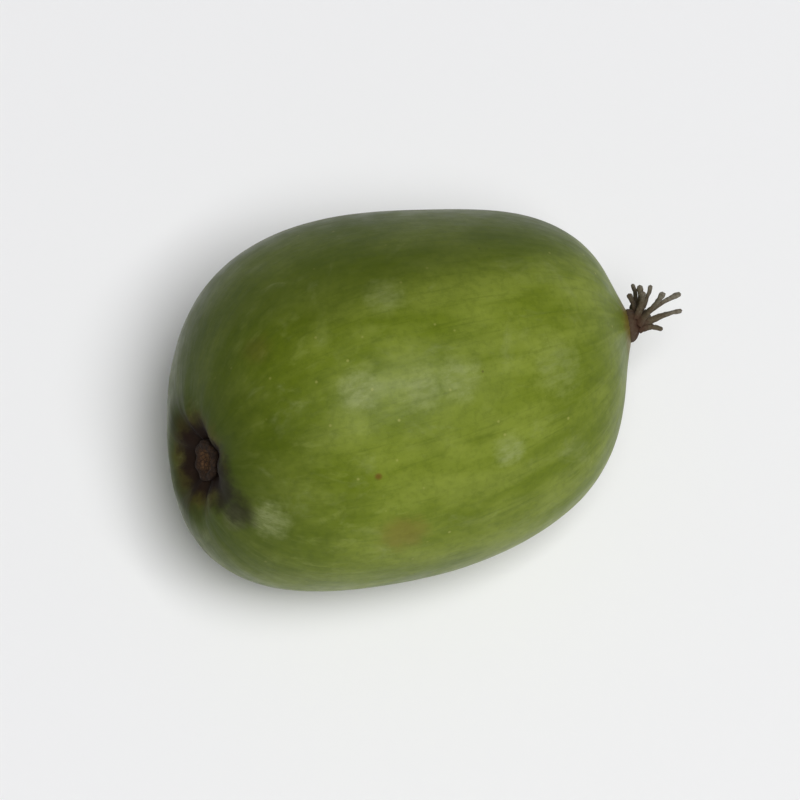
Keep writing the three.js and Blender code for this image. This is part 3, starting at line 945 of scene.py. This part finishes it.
def skin_finish():
    """The whole finish of the skin: colour, soft gloss, and a fine bump for wax and pores."""
    material, tree, shader = new_finish("waxy_skin", SKIN_SOCKETS)
    place = fruit_place(tree)
    base = skin_greens(tree)
    for row in PORES:
        base = pores(tree, base, *row)
    base = tint(tree, marked(tree, BLUSH_MARKS), base, BLUSH)
    # Deeper green at the stalk end, partly painted shade, and painted shade on one side.
    base = skin_ends_and_shade(tree, base)
    # Wax bloom, which near the middle is also a painted highlight.
    bloom_and_highlight = wax_bloom_and_highlight(tree)
    base = tint(tree, number_node(tree, "MULTIPLY", bloom_and_highlight, BLOOM_AND_HIGHLIGHT_AMOUNT), base, BLOOM_AND_HIGHLIGHT_GREY)
    # Dark marks and pit brown, partly painted shade.
    base = stained_and_shaded(tree, base)
    base = tint(tree, marked(tree, [RED_DOT], RAGGED_DOT), base, DOT_RED)

    worn = between(tree, noise(tree, place, *WORN_NOISE), *WORN_STEP)
    corky = between(tree, distance_to(tree, STEM_POLE), *CORKY_STEP)
    dull = number_node(tree, "ADD", number_node(tree, "MULTIPLY", bloom_and_highlight, BLOOM_DULL), corky)
    tree.links.new(number_node(tree, "ADD", worn, dull), shader.inputs["Roughness"])

    grain = number_node(tree, "MULTIPLY", noise(tree, place, *GRAIN_NOISE), GRAIN_SHARE)
    soft = noise(tree, flowing(tree, *SOFT_SIZE), *SOFT_NOISE)
    dress(tree, shader, base, number_node(tree, "ADD", grain, soft), *SKIN_BUMP)
    print("the skin's finish has", len(tree.nodes), "nodes")
    return material


berry.data.materials.append(skin_finish())

# %% [markdown]
# ## Cork and dry threads
#
# Cork is matt and grainy, tan where it is freshly broken and nearly black in its cracks. The
# threads are the brown of dead leaves, darker at the foot and greyer at their worn ends, and
# have no gloss either. Both patterns are finer than the skin's, because the pieces are small.

# %% Cork finish
CORK_TAN, CORK_BROWN, CORK_DARK = colour("5e4429"), colour("3d2817"), colour("1c120b")
CORK_NOISE, CORK_STEP = (0.3, 4.0, 0.65), (0.35, 0.65)
CRACK_SPACING, CRACK_STEP = 0.28, (0.12, 0.0, 0.0, 0.75)
CORK_RIM_STEP = (0.75, 1.25, 0.0, 0.8)
CORK_ROUGH = (0.12, 4.0, 0.7)
CORK_BUMP = (0.7, 0.05)
CORK_SOCKETS = {"Roughness": 0.85, "Specular IOR Level": 0.25}


def cork_finish():
    """Tan and brown grain, with dark cracks where the cell walls of a Voronoi grid run."""
    material, tree, shader = new_finish("cork", CORK_SOCKETS)
    place = fruit_place(tree)
    grain = between(tree, noise(tree, place, *CORK_NOISE), *CORK_STEP)
    base = tint(tree, grain, CORK_BROWN, CORK_TAN)
    settings = {"feature": "DISTANCE_TO_EDGE"}
    walls = put(tree, "ShaderNodeTexVoronoi", settings, Vector=place, Scale=1 / CRACK_SPACING)
    crack = between(tree, walls.outputs["Distance"], *CRACK_STEP)
    base = tint(tree, crack, base, CORK_DARK)
    rim = between(tree, distance_to(tree, STEM_POLE), *CORK_RIM_STEP)
    base = tint(tree, rim, base, CORK_DARK)
    height = number_node(tree, "SUBTRACT", noise(tree, place, *CORK_ROUGH), crack)
    dress(tree, shader, base, height, *CORK_BUMP)
    return material


scar.data.materials.append(cork_finish())

# %% Dry thread finish
THREAD_FOOT, THREAD_BROWN, THREAD_GREY = colour("3b200f"), colour("554d3b"), colour("7f7b6e")
FOOT_STEP, GREY_STEP = (0.5, 1.5), (1.6, 3.4, 0.0, 0.7)
THREAD_NOISE, THREAD_STEP = (0.16, 4.0, 0.7), (0.4, 0.7, 0.0, 0.6)
THREAD_BUMP = (0.6, 0.03)
THREAD_SOCKETS = {"Roughness": 0.8, "Specular IOR Level": 0.3}


def thread_finish():
    """Dark at the foot, brown along the thread and greyer towards the end, with fine grain."""
    material, tree, shader = new_finish("dry_threads", THREAD_SOCKETS)
    from_tip = distance_to(tree, TIP_POLE)
    grain = noise(tree, fruit_place(tree), *THREAD_NOISE)
    base = tint(tree, between(tree, from_tip, *FOOT_STEP), THREAD_FOOT, THREAD_BROWN)
    base = tint(tree, between(tree, from_tip, *GREY_STEP), base, THREAD_GREY)
    base = tint(tree, between(tree, grain, *THREAD_STEP), base, THREAD_FOOT)
    dress(tree, shader, base, grain, *THREAD_BUMP)
    return material


tuft.data.materials.append(thread_finish())

# %% [markdown]
# ## Table, light and camera
#
# The fruit lies on a plain pale table, whose rim curves up far behind it on every side, so that
# a low camera still sees a pale ground and no horizon. One large soft lamp hangs high over its
# right-hand side, so the stem end falls into shade as in the photograph, and a weak pale sky
# fills the shadows. The camera looks down steeply from in front, with a long lens, which keeps
# the outline free from perspective as a distant camera does.

# %% Table and sky
TABLE_RADIUS, RIM_RUN, RIM_HEIGHT = 0.8, 0.7, 0.5
TABLE_RINGS, TABLE_SIDES = 24, 96
TABLE_SOCKETS = {"Base Color": colour("f2f2f3"), "Roughness": 0.7}
SKY_COLOUR, SKY_STRENGTH = colour("f2f4f8"), 0.1


def table_points():
    """Rings out from the edge of the flat disc; the height grows with the square of the way."""
    way = np.linspace(0, 1, TABLE_RINGS)[:, None]
    around = 2 * math.pi * np.arange(TABLE_SIDES)[None] / TABLE_SIDES
    radius = TABLE_RADIUS + RIM_RUN * way
    height = RIM_HEIGHT * way**2 + 0 * around
    return np.stack([radius * np.cos(around), radius * np.sin(around), height], axis=-1)


def table_faces():
    """The flat disc as one face, and the rim as rings of square faces."""
    near = np.arange(TABLE_SIDES)
    far = (near + 1) % TABLE_SIDES
    rows = TABLE_SIDES * np.arange(TABLE_RINGS - 1)[:, None]
    inner, outer = (rows + near, rows + far), (rows + TABLE_SIDES + near, rows + TABLE_SIDES + far)
    rim = np.stack([inner[0], outer[0], outer[1], inner[1]], axis=-1)
    return [near.tolist(), *rim.reshape(-1, 4).tolist()]


table_mesh = bpy.data.meshes.new("table")
table_mesh.from_pydata(table_points().reshape(-1, 3).tolist(), [], table_faces())
table_mesh.polygons.foreach_set("use_smooth", [True] * len(table_mesh.polygons))
table = bpy.data.objects.new("table", table_mesh)
bpy.context.scene.collection.objects.link(table)
table_mesh.materials.append(new_finish("pale_table", TABLE_SOCKETS)[0])
table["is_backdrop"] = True

scene = bpy.context.scene
scene.view_settings.view_transform = "Standard"
world = bpy.data.worlds.new("sky")
world.use_nodes = True
world.node_tree.nodes["Background"].inputs["Color"].default_value = SKY_COLOUR
world.node_tree.nodes["Background"].inputs["Strength"].default_value = SKY_STRENGTH
scene.world = world
print("table to", TABLE_RADIUS + RIM_RUN, "m from the fruit on every side")

# %% Lamp and camera
LAMP_AZIMUTH, LAMP_ELEVATION, LAMP_DISTANCE = 21, 72, 1.5
LAMP_SIZE, LAMP_WATTS = 0.7, 21.0
LENS_MM, SENSOR_MM, NEAREST = 250, 36, 0.01
FRAME_WIDTH = 49 * MM
MIDDLE = seen_middle() * MM


def aimed(data, name, azimuth, elevation, distance):
    """A lamp or camera at that distance, turned to look at the fruit's middle."""
    thing = bpy.data.objects.new(name, data)
    back = view_axes(azimuth, elevation)[2]
    thing.location = MIDDLE + back * distance
    thing.rotation_euler = Vector(-back).to_track_quat("-Z", "Y").to_euler()
    scene.collection.objects.link(thing)
    return thing


lamp_data = bpy.data.lights.new("main_lamp", "AREA")
lamp_data.size = LAMP_SIZE
lamp_data.energy = LAMP_WATTS
aimed(lamp_data, "main_lamp", LAMP_AZIMUTH, LAMP_ELEVATION, LAMP_DISTANCE)

camera_data = bpy.data.cameras.new("camera")
camera_data.lens = LENS_MM
camera_data.sensor_width = SENSOR_MM
camera_data.clip_start = NEAREST
camera_distance = FRAME_WIDTH * LENS_MM / SENSOR_MM
scene.camera = aimed(camera_data, "camera", VIEW_AZIMUTH, VIEW_ELEVATION, camera_distance)
print("camera at", [round(v, 3) for v in scene.camera.location])

# %% [markdown]
#
# The dressed fruit must fill the same box as the imported solids. The change of each corner
# between the two boxes is printed.

# %% Finish
dressed_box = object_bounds()
for corner, dressed, packed in zip(("low", "high"), dressed_box, cad_box):
    change = [round((v - c) / MM, 3) for v, c in zip(dressed, packed)]
    print("change of the", corner, "corner in mm:", change)
